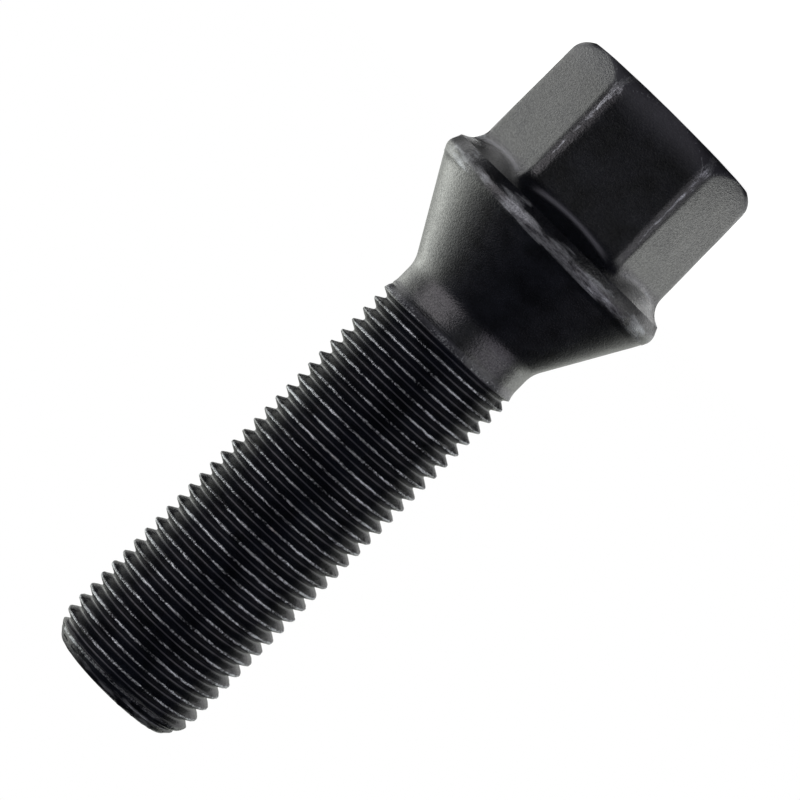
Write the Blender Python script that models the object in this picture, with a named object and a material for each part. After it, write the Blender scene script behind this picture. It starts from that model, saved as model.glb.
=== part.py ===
"""Wheel bolt in one forged and rolled piece: hexagon head, cone seat and right-hand metric thread.

The bolt stands on its head. The origin is the centre of the head's end face and +Z runs up the shank to the
tip. Every height below is measured from one of those two ends, and all sizes are in metres.
"""

import math

import bmesh
import bpy
from mathutils import Matrix

MM = 0.001

# Whole bolt
OVERALL_LENGTH = 64.0 * MM

# Hexagon head
ACROSS_FLATS = 17.0 * MM
CORNER_DIAMETER = 19.26 * MM  # across the rounded corners, just above the foot of the hexagon
CORNER_TAPER = 0.2 * MM  # how much less that is at the end of the head
HEAD_HEIGHT = 12.65 * MM  # from the end face to the sharp edge of the rim
END_FACE_DIAMETER = 16.4 * MM
END_CHAMFER = math.radians(34.0)  # from the end face
END_ROUNDING = 1.5 * MM

# Foot of the hexagon, where the faces run out over the top of the rim
FOOT_SLOPE = math.radians(27.0)
FACE_FOOT_RADIUS = 0.9 * MM
CORNER_FOOT_RADIUS = 1.9 * MM

# Rim
RIM_DIAMETER = 22.76 * MM
RIM_EDGE_INSET = 0.38 * MM  # how far the sharp edge at the end of the foot's slope lies inside it
RIM_EDGE_DIAMETER = RIM_DIAMETER - 2 * RIM_EDGE_INSET
RIM_HEIGHT = 1.9 * MM  # from the sharp edge to the cone
RIM_WIDEST_HEIGHT = 1.07 * MM  # from the sharp edge to the rim's widest circle
RIM_ROUNDING = 1.1 * MM

# Cone seat and neck
SEAT_ANGLE = math.radians(60.0)
SEAT_INSET = 0.31 * MM  # how far the cone's end lies inside the rim
SEAT_DIAMETER = RIM_DIAMETER - 2 * SEAT_INSET
NECK_DIAMETER = 13.06 * MM
NECK_FILLET = 2.7 * MM

# Thread M14 x 1.25, rolled
CREST_DIAMETER = 13.76 * MM
PITCH = 1.25 * MM
FLANK_ANGLE = math.radians(60.0)
THREAD_LENGTH = 39.35 * MM
FIRST_CREST = 1.0 * MM  # height of a crest below the tip, on the +X side
RUN_OUT_LENGTH = 1.4 * MM
RUN_OUT_DEPTH = 0.45 * MM  # how far below the neck the thread starts
NECK_END_HEIGHT = 0.72 * MM  # over which the neck drops by as much, inside the first turn

# Tip
TIP_FACE_DIAMETER = 10.0 * MM
TIP_ROUNDING = 1.0 * MM
TIP_CHAMFER_DIAMETER = 11.5 * MM
TIP_CHAMFER = math.radians(36.0)  # from the axis
TIP_FACE_SLOPE = math.radians(22.0)  # of the face's edge, from the end face
BLANK_CLEARANCE = 0.15 * MM  # by which the turned blank stands outside the crests

# Proportions of the metric thread, as shares of the pitch
CREST_FLAT_SHARE = 1 / 8
ROOT_FLAT_SHARE = 1 / 4

# Facets
SIDES = 6
COLUMNS_TO_A_CORNER = 5
COLUMN_CROWDING = 1.3
THREAD_SEGMENTS = 32
ROUNDING_STEPS = 4
ROUNDING_REACH = 0.98  # the most of a straight line that a rounding may take
MERGE_DISTANCE = 1e-7
SLIVER = 0.003 * MM
COPLANAR = math.radians(0.05)
SHARP_ANGLE = math.radians(32.0)


def rounded(points):
    """Turns (radius, height, rounding) corners into an outline whose corners are arcs."""
    outline = []
    for index, (r, z, rounding) in enumerate(points):
        if rounding == 0.0:
            outline.append((r, z))
            continue
        before, after = points[index - 1], points[index + 1]
        outline.extend(corner_arc((before[0], before[1]), (r, z), (after[0], after[1]), rounding))
    return outline


def corner_arc(before, corner, after, radius):
    """Points on the arc that rounds a corner between two straight lines, limited to the shorter line."""
    arms = []
    for end in (before, after):
        length = math.dist(corner, end)
        arms.append(((end[0] - corner[0]) / length, (end[1] - corner[1]) / length, length))
    (ax, az, a_length), (bx, bz, b_length) = arms
    half = math.acos(max(-1.0, min(1.0, ax * bx + az * bz))) / 2
    reach = min(radius / math.tan(half), ROUNDING_REACH * a_length, ROUNDING_REACH * b_length)
    radius = reach * math.tan(half)
    middle = math.hypot(ax + bx, az + bz)
    to_centre = radius / math.sin(half) / middle
    centre = (corner[0] + (ax + bx) * to_centre, corner[1] + (az + bz) * to_centre)
    start = math.atan2(corner[1] + az * reach - centre[1], corner[0] + ax * reach - centre[0])
    end = math.atan2(corner[1] + bz * reach - centre[1], corner[0] + bx * reach - centre[0])
    return arc_points(centre, radius, start, start + math.remainder(end - start, math.tau))


def arc_points(centre, radius, start, end):
    """Points along an arc, from one direction to another."""
    angles = [start + (end - start) * step / ROUNDING_STEPS for step in range(ROUNDING_STEPS + 1)]
    return [(centre[0] + radius * math.cos(angle), centre[1] + radius * math.sin(angle)) for angle in angles]


def column_angles():
    """Directions of the head's columns, crowded towards the hexagon's corners, the first on +X."""
    half_side = math.pi / SIDES
    ahead = [half_side * (k / COLUMNS_TO_A_CORNER) ** COLUMN_CROWDING for k in range(COLUMNS_TO_A_CORNER + 1)]
    behind = [2 * half_side - angle for angle in reversed(ahead[1:-1])]
    return [2 * half_side * side + angle for side in range(SIDES) for angle in ahead + behind]


def hexagon_radius(angle, corner_radius):
    """Reach of a hexagon with rounded corners in one direction. At the flats' own radius it is a circle."""
    flat = ACROSS_FLATS / 2
    if corner_radius <= flat:
        return corner_radius
    half_side = math.pi / SIDES
    stretch = 1 / math.cos(half_side)
    rounding = max(0.0, (flat * stretch - corner_radius) / (stretch - 1))
    from_corner = abs(math.remainder(angle, 2 * half_side))
    centre = (flat - rounding) * stretch
    tangent = math.atan2(flat * math.tan(half_side) - rounding * math.tan(half_side), flat)
    if half_side - from_corner <= tangent:
        return flat / math.cos(half_side - from_corner)
    across = centre * math.sin(from_corner)
    return centre * math.cos(from_corner) + math.sqrt(rounding**2 - across**2)


def head_end_outline():
    """Corner radius against height from the end face to the start of the foot."""
    end_radius = END_FACE_DIAMETER / 2
    top_corner = (CORNER_DIAMETER - CORNER_TAPER) / 2
    chamfer_height = (top_corner - end_radius) * math.tan(END_CHAMFER)
    return rounded(
        [
            (end_radius, 0.0, 0.0),
            (top_corner, chamfer_height, END_ROUNDING),
            (CORNER_DIAMETER / 2, foot_top(), 0.0),
        ]
    )


def foot_top():
    """Height at which the corner's foot has run out into the straight corner."""
    rise = (RIM_EDGE_DIAMETER - CORNER_DIAMETER) / 2 * math.tan(FOOT_SLOPE)
    reach = CORNER_FOOT_RADIUS * math.tan((math.pi / 2 - FOOT_SLOPE) / 2)
    return HEAD_HEIGHT - rise - reach


def foot_profile(angle):
    """One column of the foot, from the hexagon's side down onto the sloping top of the rim."""
    side = hexagon_radius(angle, CORNER_DIAMETER / 2)
    flat = ACROSS_FLATS / 2
    to_corner = (side - flat) / (CORNER_DIAMETER / 2 - flat)
    radius = FACE_FOOT_RADIUS + (CORNER_FOOT_RADIUS - FACE_FOOT_RADIUS) * to_corner
    edge = RIM_EDGE_DIAMETER / 2
    crease = HEAD_HEIGHT - (edge - side) * math.tan(FOOT_SLOPE)
    return corner_arc((side, 0.0), (side, crease), (edge, HEAD_HEIGHT), radius)


def rim_outline():
    """The rim's rounded side, from the line that leaves the sharp edge to the slope of the cone."""
    centre = (RIM_DIAMETER / 2 - RIM_ROUNDING, HEAD_HEIGHT + RIM_WIDEST_HEIGHT)
    edge = (RIM_EDGE_DIAMETER / 2, HEAD_HEIGHT)
    away = max(math.dist(centre, edge), RIM_ROUNDING)
    start = math.atan2(edge[1] - centre[1], edge[0] - centre[0]) + math.acos(RIM_ROUNDING / away)
    return [edge] + arc_points(centre, RIM_ROUNDING, start, SEAT_ANGLE / 2)


def seat_outline():
    """Turned outline from the end of the rim over the cone seat and along the neck to the thread."""
    seat = SEAT_DIAMETER / 2
    neck = NECK_DIAMETER / 2
    seat_height = HEAD_HEIGHT + RIM_HEIGHT
    neck_height = seat_height + (seat - neck) / math.tan(SEAT_ANGLE / 2)
    thread_end = OVERALL_LENGTH - THREAD_LENGTH
    return rounded(
        [
            (seat, seat_height, 0.0),
            (neck, neck_height, NECK_FILLET),
            (neck, thread_end, 0.0),
            (neck - RUN_OUT_DEPTH, thread_end + NECK_END_HEIGHT, 0.0),
        ]
    )


def extrude_ring(bm, ring, column, place):
    """Extrudes a ring of edges and puts each new vertex where its column belongs."""
    made = bmesh.ops.extrude_edge_only(bm, edges=ring)["geom"]
    for vert in (item for item in made if isinstance(item, bmesh.types.BMVert)):
        vert.co = place(vert[column])
    return [item for item in made if isinstance(item, bmesh.types.BMEdge)]


def polar(radius, angle, height):
    """A point from its distance to the axis, its direction and its height."""
    return (radius * math.cos(angle), radius * math.sin(angle), height)


def head_mesh():
    """Hexagon, rim, cone seat and neck as one closed form, drawn ring by ring from the end face."""
    angles = column_angles()
    feet = [foot_profile(angle) for angle in angles]
    bm = bmesh.new()
    column = bm.verts.layers.int.new("column")
    bmesh.ops.create_circle(bm, cap_ends=False, radius=END_FACE_DIAMETER / 2, segments=len(angles))
    for index, vert in enumerate(bm.verts):
        vert[column] = index
        vert.co = polar(END_FACE_DIAMETER / 2, angles[index], 0.0)
    ring = first = list(bm.edges)
    for corner_radius, height in head_end_outline()[1:-1]:
        ring = extrude_ring(
            bm, ring, column, lambda k, r=corner_radius, z=height: polar(hexagon_radius(angles[k], r), angles[k], z)
        )
    for step in range(ROUNDING_STEPS + 1):
        ring = extrude_ring(bm, ring, column, lambda k, s=step: polar(feet[k][s][0], angles[k], feet[k][s][1]))
    for radius, height in rim_outline() + seat_outline():
        ring = extrude_ring(bm, ring, column, lambda k, r=radius, z=height: polar(r, angles[k], z))
    bmesh.ops.holes_fill(bm, edges=first, sides=0)
    bmesh.ops.holes_fill(bm, edges=ring, sides=0)
    bmesh.ops.recalc_face_normals(bm, faces=bm.faces)
    return mesh_from(bm, "head")


def tooth_profile():
    """One pitch of the thread in the XZ plane, up over the crest and along the root to the next flank."""
    crest = CREST_DIAMETER / 2
    depth = PITCH * (1 - CREST_FLAT_SHARE - ROOT_FLAT_SHARE) / 2 / math.tan(FLANK_ANGLE / 2)
    half_crest = PITCH * CREST_FLAT_SHARE / 2
    half_foot = PITCH * (1 - ROOT_FLAT_SHARE) / 2
    return [
        (crest - depth, -half_foot),
        (crest, -half_crest),
        (crest, half_crest),
        (crest - depth, half_foot),
        (crest - depth, PITCH - half_foot),
    ]


def threaded_rod():
    """Right-hand thread as one helical surface, closed at both ends, past the tip and inside the neck."""
    bm = bmesh.new()
    verts = [bm.verts.new((radius, 0.0, height)) for radius, height in tooth_profile()]
    edges = [bm.edges.new(pair) for pair in zip(verts, verts[1:])]
    bmesh.ops.spin(
        bm,
        geom=verts + edges,
        axis=(0.0, 0.0, 1.0),
        cent=(0.0, 0.0, 0.0),
        dvec=(0.0, 0.0, PITCH / THREAD_SEGMENTS),
        angle=math.tau,
        steps=THREAD_SEGMENTS,
        use_merge=False,
        use_duplicate=False,
    )
    # Half a facet round, and up the helix by as much, so that no column lies over one of the head's.
    turn_about_axis(bm, math.pi / THREAD_SEGMENTS)
    bmesh.ops.translate(bm, verts=bm.verts, vec=(0.0, 0.0, PITCH / THREAD_SEGMENTS / 2))
    turn = list(bm.verts) + list(bm.edges) + list(bm.faces)
    turns = math.ceil((THREAD_LENGTH + PITCH) / PITCH) + 1
    top = OVERALL_LENGTH - FIRST_CREST + PITCH
    for index in range(1, turns):
        copy = bmesh.ops.duplicate(bm, geom=turn)["geom"]
        moved = [item for item in copy if isinstance(item, bmesh.types.BMVert)]
        bmesh.ops.translate(bm, verts=moved, vec=(0.0, 0.0, -index * PITCH))
    bmesh.ops.translate(bm, verts=bm.verts, vec=(0.0, 0.0, top))
    bmesh.ops.remove_doubles(bm, verts=bm.verts, dist=MERGE_DISTANCE)
    open_edges = [edge for edge in bm.edges if edge.is_boundary]
    middle = top - turns * PITCH / 2
    for upper in (True, False):
        rim = [edge for edge in open_edges if (edge.verts[0].co.z > middle) == upper]
        level = sum(edge.verts[0].co.z for edge in rim) / len(rim)
        made = bmesh.ops.extrude_edge_only(bm, edges=rim)["geom"]
        fan = [item for item in made if isinstance(item, bmesh.types.BMVert)]
        bmesh.ops.pointmerge(bm, verts=fan, merge_co=(0.0, 0.0, level))
    bmesh.ops.recalc_face_normals(bm, faces=bm.faces)
    return mesh_from(bm, "threaded_rod")


def shank_blank():
    """Turned blank that the thread is cut back to: the rounded tip, and the run-out at the neck."""
    over_crest = CREST_DIAMETER / 2 + BLANK_CLEARANCE
    run_out_end = OVERALL_LENGTH - THREAD_LENGTH
    run_out_radius = NECK_DIAMETER / 2 - RUN_OUT_DEPTH
    face_drop = (TIP_CHAMFER_DIAMETER - TIP_FACE_DIAMETER) / 2 * math.tan(TIP_FACE_SLOPE)
    chamfer_height = OVERALL_LENGTH - face_drop
    below_chamfer = (over_crest - TIP_CHAMFER_DIAMETER / 2) / math.tan(TIP_CHAMFER)
    outline = rounded(
        [
            (0.0, run_out_end, 0.0),
            (run_out_radius, run_out_end, 0.0),
            (over_crest, run_out_end + RUN_OUT_LENGTH, 0.0),
            (over_crest, chamfer_height - below_chamfer, 0.0),
            (TIP_CHAMFER_DIAMETER / 2, chamfer_height, TIP_ROUNDING),
            (TIP_FACE_DIAMETER / 2, OVERALL_LENGTH, 0.0),
            (0.0, OVERALL_LENGTH, 0.0),
        ]
    )
    bm = bmesh.new()
    verts = [bm.verts.new((radius, 0.0, height)) for radius, height in outline]
    edges = [bm.edges.new(pair) for pair in zip(verts, verts[1:])]
    bmesh.ops.spin(
        bm,
        geom=verts + edges,
        axis=(0.0, 0.0, 1.0),
        cent=(0.0, 0.0, 0.0),
        angle=math.tau,
        steps=THREAD_SEGMENTS,
        use_merge=True,
        use_duplicate=False,
    )
    bmesh.ops.remove_doubles(bm, verts=bm.verts, dist=MERGE_DISTANCE)
    turn_about_axis(bm, math.pi / THREAD_SEGMENTS / 2)
    bmesh.ops.recalc_face_normals(bm, faces=bm.faces)
    return mesh_from(bm, "shank_blank")


def turn_about_axis(bm, angle):
    """Turns the whole form about the bolt's axis."""
    bmesh.ops.rotate(bm, verts=bm.verts, cent=(0.0, 0.0, 0.0), matrix=Matrix.Rotation(angle, 3, "Z"))


def mesh_from(bm, name):
    """Writes a bmesh to a new mesh and frees it."""
    mesh = bpy.data.meshes.new(name)
    bm.to_mesh(mesh)
    bm.free()
    return mesh


def add_object(name, mesh):
    """Puts a mesh into the scene as an object."""
    made = bpy.data.objects.new(name, mesh)
    bpy.context.scene.collection.objects.link(made)
    return made


def add_tool(name, mesh):
    """Puts a mesh into the scene as a helper that doesn't render."""
    tool = add_object(name, mesh)
    tool.hide_render = True
    tool.display_type = "WIRE"
    return tool


def combine(target, tool, operation):
    """Applies a Boolean of the tool to the target, joins points almost together, and removes the tool."""
    modifier = target.modifiers.new(operation.title(), "BOOLEAN")
    modifier.operation = operation
    modifier.solver = "EXACT"
    modifier.object = tool
    graph = bpy.context.evaluated_depsgraph_get()
    result = bpy.data.meshes.new_from_object(target.evaluated_get(graph))
    target.modifiers.clear()
    target.data = result
    bpy.data.objects.remove(tool, do_unlink=True)
    bm = bmesh.new()
    bm.from_mesh(result)
    bmesh.ops.remove_doubles(bm, verts=bm.verts, dist=SLIVER)
    bmesh.ops.dissolve_degenerate(bm, dist=SLIVER, edges=bm.edges)
    bm.to_mesh(result)
    bm.free()


def black_oxide():
    """Chemically blackened steel with a film of oil."""
    material = bpy.data.materials.new("black_oxide_steel")
    material.use_nodes = True
    shader = material.node_tree.nodes["Principled BSDF"]
    shader.inputs["Base Color"].default_value = (0.011, 0.012, 0.015, 1.0)
    shader.inputs["Roughness"].default_value = 0.42
    shader.inputs["Metallic"].default_value = 0.35
    return material


def tidy_faces(mesh):
    """Joins faces that lie in one plane and shades the round parts smooth."""
    bm = bmesh.new()
    bm.from_mesh(mesh)
    bmesh.ops.dissolve_limit(bm, angle_limit=COPLANAR, verts=bm.verts, edges=bm.edges)
    bm.to_mesh(mesh)
    bm.free()
    mesh.shade_smooth()
    mesh.set_sharp_from_angle(angle=SHARP_ANGLE)


def build():
    """Builds the bolt in an empty scene."""
    for old in list(bpy.data.objects):
        bpy.data.objects.remove(old, do_unlink=True)
    bolt = add_object("wheel_bolt", threaded_rod())
    combine(bolt, add_tool("shank_blank", shank_blank()), "INTERSECT")
    combine(bolt, add_tool("head", head_mesh()), "UNION")
    tidy_faces(bolt.data)
    bolt.data.materials.clear()
    bolt.data.materials.append(black_oxide())


build()
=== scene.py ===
"""Looks of the wheel bolt: one forged and rolled steel piece in black oxide, on a pale floor.

The bolt stands on its head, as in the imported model. Its surface is one closed mesh that grows from the
thread: the rolled turns first, then rings on to the tip at one end and over the neck, seat, rim and hexagon
at the other. Sizes are in millimetres until the mesh is finished and scaled to metres.
"""

import logging
import math
from collections.abc import Callable
from dataclasses import dataclass, field
from enum import Enum

import bmesh
import bpy
from mathutils import Matrix, Vector, noise


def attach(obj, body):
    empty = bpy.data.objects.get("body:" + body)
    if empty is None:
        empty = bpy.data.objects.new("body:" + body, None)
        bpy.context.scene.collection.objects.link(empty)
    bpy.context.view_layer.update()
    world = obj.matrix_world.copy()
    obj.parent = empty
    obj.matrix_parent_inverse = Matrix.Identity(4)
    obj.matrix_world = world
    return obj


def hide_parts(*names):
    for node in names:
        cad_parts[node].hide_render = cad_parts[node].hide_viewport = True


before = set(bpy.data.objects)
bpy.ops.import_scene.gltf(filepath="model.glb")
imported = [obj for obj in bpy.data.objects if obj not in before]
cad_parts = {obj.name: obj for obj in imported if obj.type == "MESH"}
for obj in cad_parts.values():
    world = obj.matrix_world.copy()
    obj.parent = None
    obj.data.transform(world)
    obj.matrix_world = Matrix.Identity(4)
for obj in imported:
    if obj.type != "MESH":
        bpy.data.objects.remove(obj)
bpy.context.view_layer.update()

MM = 0.001
HEAD_HEIGHT = 12.65
RIM_EDGE_DIAMETER = 22.0
FOOT_SLOPE = math.radians(27.0)
NECK_DIAMETER = 13.06
log = logging.getLogger("wheel_bolt")

Tree = bpy.types.NodeTree
Socket = bpy.types.NodeSocket
Outline = list[tuple[float, float]]  # (radius from the axis, height)
Place = Callable[[float], tuple[float, float]]  # from a direction to (radius, height)
Scuffs = tuple[tuple[float, float, float], ...]  # (direction and half the width in degrees, wear)
Layers = tuple[tuple[float, float, float], ...]  # (size of the lumps, seed, depth)
Dents = tuple[float, float, float, float]  # (size, seed, rarity, depth)
Stops = tuple[tuple[float, float], ...]  # (azimuth in degrees, value), in order


class WearAndGleam(Enum):
    """The ways in which the finish is worn or pale, each a number from 0 to 1 at each point of the mesh. The
    pale line is partly a painted highlight.
    """

    CORNER = "worn_corner"
    CREST = "worn_crest"
    RIM = "worn_rim"
    # Painted highlight along the thread's root and the head's arches, and paler lands and hexagon faces near
    # the end.
    LINE = "pale_line"


def smooth_step(low: float, high: float, value: float) -> float:
    """Eases from 0 at low to 1 at high."""
    share = max(0.0, min(1.0, (value - low) / (high - low)))
    return share * share * (3 - 2 * share)


def soft_least(a: float, b: float, blend: float) -> float:
    """The smaller of two heights, with their crossing rounded over about the blend."""
    gap = max(blend - abs(a - b), 0.0) / blend
    return min(a, b) - gap * gap * blend / 4


def grain(point: Vector, size: float, seed: float) -> float:
    """Smooth noise between about -1 and 1 whose lumps are about the given size across."""
    return noise.noise(point / size + Vector((seed, seed / 2, -seed)))


def lumps(point: Vector, layers: Layers) -> float:
    """Unevenness in millimetres, added up from layers of smooth noise."""
    return sum(depth * grain(point, size, seed) for size, seed, depth in layers)


def dent(point: Vector, size: float, seed: float, rarity: float, depth: float) -> float:
    """Depth of a dent at a point: 0 on most of the surface, and on more of it the rarer the dents are."""
    return max(0.0, grain(point, size, seed) - rarity) * depth


def scuffed(angle: float, scuffs: Scuffs) -> float:
    """How worn a direction is.

    Args:
        angle: the direction, from +X.
        scuffs: for each scuff its direction and half its width, both in degrees, and how worn its middle is.

    Returns:
        The wear of the strongest scuff there.
    """
    away = [(math.remainder(angle - math.radians(place), math.tau) / math.radians(width), worn)
            for place, width, worn in scuffs]
    return max(worn * math.exp(-(share**2)) for share, worn in away)


def arc(centre: tuple[float, float], radius: float, start: float, end: float, steps: int) -> Outline:
    """Points along an arc.

    Args:
        centre: the arc's centre, as (radius from the axis, height).
        radius: the arc's own radius.
        start: direction of the first point, in radians.
        end: direction of the last point.
        steps: how many pieces the arc has.

    Returns:
        The points in order, both ends included.
    """
    angles = [start + (end - start) * step / steps for step in range(steps + 1)]
    return [(centre[0] + radius * math.cos(a), centre[1] + radius * math.sin(a)) for a in angles]


def round_corner(before: tuple[float, float], corner: tuple[float, float], after: tuple[float, float],
                 radius: float, steps: int) -> Outline:
    """The arc that rounds a corner between two straight lines.

    Args:
        before: a point on the line that comes in.
        corner: where the lines meet.
        after: a point on the line that goes out.
        radius: the rounding.
        steps: how many pieces the arc has.

    Returns:
        The arc's points, from the line that comes in to the one that goes out.
    """
    to_before = (Vector(before) - Vector(corner)).normalized()
    to_after = (Vector(after) - Vector(corner)).normalized()
    half = to_before.angle(to_after) / 2
    centre = Vector(corner) + (to_before + to_after).normalized() * (radius / math.sin(half))
    start_arm = Vector(corner) + to_before * (radius / math.tan(half)) - centre
    end_arm = Vector(corner) + to_after * (radius / math.tan(half)) - centre
    start = math.atan2(start_arm.y, start_arm.x)
    turn = math.remainder(math.atan2(end_arm.y, end_arm.x) - start, math.tau)
    return arc(tuple(centre), radius, start, start + turn, steps)


def straight(start: tuple[float, float], end: tuple[float, float], steps: int) -> Outline:
    """Evenly spaced points between two ends, without the ends."""
    return [tuple(Vector(start).lerp(Vector(end), k / steps)) for k in range(1, steps)]


@dataclass
class HexagonHead:
    """The forged hexagon from its foot on the rim to the turned end face, which is at height 0."""

    across_flats: float = 17.0
    corner_diameter: float = 19.26
    corner_taper: float = 0.2
    height: float = HEAD_HEIGHT
    end_face_diameter: float = 16.8
    end_chamfer: float = math.radians(31.0)
    end_rounding: float = 1.6
    foot_slope: float = FOOT_SLOPE
    face_foot_radius: float = 0.9
    corner_foot_radius: float = 1.9
    edge_diameter: float = RIM_EDGE_DIAMETER
    sides: int = 6
    foot_scuffs: Scuffs = ((-158.0, 26.0, 0.9), (0.0, 9.0, 1.1), (115.0, 25.0, 0.8))
    foot_steps: int = 11
    side_steps: int = 24
    chamfer_steps: int = 8
    end_face_rings: tuple[float, ...] = (7.0, 5.2, 3.4, 1.6)
    # The arch line is partly a painted highlight of the forged edge, partly its paler skin.
    arch_paleness_and_highlight: float = 0.85
    arch_width: float = 0.17
    corner_width: float = 0.24
    end_width: float = 0.5
    chamfer_edge: float = 0.3
    chamfer_edge_rise: float = 1.4
    chamfer_edge_width: float = 0.19
    chamfer_wear: float = 0.62
    end_haze_share: float = 0.3

    def reach(self, angle: float, corner_radius: float) -> float:
        """Distance from the axis to a hexagon with rounded corners.

        Args:
            angle: the direction, from +X, where the first corner is.
            corner_radius: how far the rounded corners reach; at the flats' radius the outline is a circle.

        Returns:
            The distance in that direction.
        """
        flat = self.across_flats / 2
        if corner_radius <= flat:
            return corner_radius
        half_side = math.pi / self.sides
        stretch = 1 / math.cos(half_side)
        rounding = max(0.0, (flat * stretch - corner_radius) / (stretch - 1))
        from_corner = abs(math.remainder(angle, 2 * half_side))
        tangent = math.atan2((flat - rounding) * math.tan(half_side), flat)
        if half_side - from_corner <= tangent:
            return flat / math.cos(half_side - from_corner)
        centre = (flat - rounding) * stretch
        across = centre * math.sin(from_corner)
        return centre * math.cos(from_corner) + math.sqrt(rounding**2 - across**2)

    def foot_top(self) -> float:
        """Finds where the corner's foot has run out into the straight corner.

        Returns:
            The height above the end face.
        """
        rise = (self.edge_diameter - self.corner_diameter) / 2 * math.tan(self.foot_slope)
        run_out = self.corner_foot_radius * math.tan((math.pi / 2 - self.foot_slope) / 2)
        return self.height - rise - run_out

    def foot(self, angle: float) -> Outline:
        """One column of the foot, from the rim's edge along the slope and into the hexagon's side.

        Args:
            angle: the column's direction, from +X.

        Returns:
            The column's points.
        """
        side = self.reach(angle, self.corner_diameter / 2)
        flat = self.across_flats / 2
        to_corner = (side - flat) / (self.corner_diameter / 2 - flat)
        radius = self.face_foot_radius + (self.corner_foot_radius - self.face_foot_radius) * to_corner
        edge = self.edge_diameter / 2
        crease = self.height - (edge - side) * math.tan(self.foot_slope)
        bend = round_corner((edge, self.height), (side, crease), (side, 0.0), radius, self.foot_steps - 4)
        return straight((edge, self.height), bend[0], 4) + bend

    def end_outline(self) -> Outline:
        """The outline of a corner of the hexagon.

        Returns:
            Its points, as (corner radius, height), from above the foot to the edge of the end face.
        """
        end_radius = self.end_face_diameter / 2
        corner = (self.corner_diameter - self.corner_taper) / 2
        chamfer_height = (corner - end_radius) * math.tan(self.end_chamfer)
        start = (self.corner_diameter / 2, self.foot_top())
        edge = (end_radius, 0.0)
        bend = round_corner(start, (corner, chamfer_height), edge, self.end_rounding, self.chamfer_steps)
        return straight(start, bend[0], self.side_steps) + bend + straight(bend[-1], edge, 4)

    def rings(self, columns: list[float]) -> list[Place]:
        """The head's rings, from the rim's edge to the edge of the end face.

        Args:
            columns: the directions of the mesh's columns.

        Returns:
            For each ring, a function from a direction to (radius, height).
        """
        feet = {angle: self.foot(angle) for angle in columns}
        foot_rings = [lambda angle, s=step: feet[angle][s] for step in range(self.foot_steps)]
        side_rings = [lambda angle, r=r, z=z: (self.reach(angle, r), z) for r, z in self.end_outline()]
        return foot_rings + side_rings

    def arch_line(self, angle: float, height: float) -> float:
        """Pale along the arch where a face runs into the rim's slope, and 0 at the corners: a painted
        highlight where the forged edge would catch the light, and partly that edge's own paler skin.

        Args:
            angle: the direction, from +X.
            height: the height above the end face.

        Returns:
            The paleness.
        """
        side = self.reach(angle, self.corner_diameter / 2)
        crease = self.height - (self.edge_diameter / 2 - side) * math.tan(self.foot_slope)
        from_corner = abs(math.remainder(angle, math.pi / self.sides * 2))
        line = self.arch_paleness_and_highlight * math.exp(-(((height - crease + 0.12) / self.arch_width) ** 2))
        return line * smooth_step(0.06, 0.2, from_corner)

    def corner_wear(self, angle: float, height: float) -> float:
        """How worn the corners, the chamfer and its edge are.

        Args:
            angle: the direction, from +X.
            height: the height above the end face.

        Returns:
            The wear, about 1 where it is strongest.
        """
        from_corner = abs(math.remainder(angle, math.pi / self.sides * 2)) * self.corner_diameter / 2
        near_end = 1 - smooth_step(0.6, 5.5, height)
        place = Vector((3.0 * math.cos(angle), 3.0 * math.sin(angle), height))
        uneven = grain(place, 1.3, 15.0)
        width = self.corner_width + self.end_width * near_end + 0.12 * uneven
        along = 1 - smooth_step(self.height - 5.0, self.height - 1.5, height)
        corner = math.exp(-((from_corner / width) ** 2)) * (0.45 + 0.55 * along + 0.15 * uneven)
        side = self.reach(angle, self.corner_diameter / 2)
        to_corner = (side - self.across_flats / 2) / (self.corner_diameter / 2 - self.across_flats / 2)
        # The chamfer meets each face in an arch that is lowest at the face's middle; its edge is scuffed.
        past_edge = height - self.chamfer_edge - self.chamfer_edge_rise * to_corner**2
        edge = math.exp(-((past_edge / self.chamfer_edge_width) ** 2)) * (0.84 + 0.3 * uneven)
        edge *= smooth_step(0.06, 0.3, to_corner)
        chamfer = self.chamfer_wear * (1 - smooth_step(0.3, 0.8, height))
        return max(corner, chamfer, edge)

    def end_haze(self, height: float) -> float:
        """Grows towards the end face, where handling has dulled the faces."""
        return self.end_haze_share * (1 - smooth_step(0.6, 3.2, height))

    def foot_wear(self, angle: float, height: float) -> float:
        """How scuffed the foot is: most where the photograph shows it, and never up on the faces."""
        top = self.foot_top()
        return scuffed(angle, self.foot_scuffs) * smooth_step(top - 0.1, top + 0.7, height)


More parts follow.
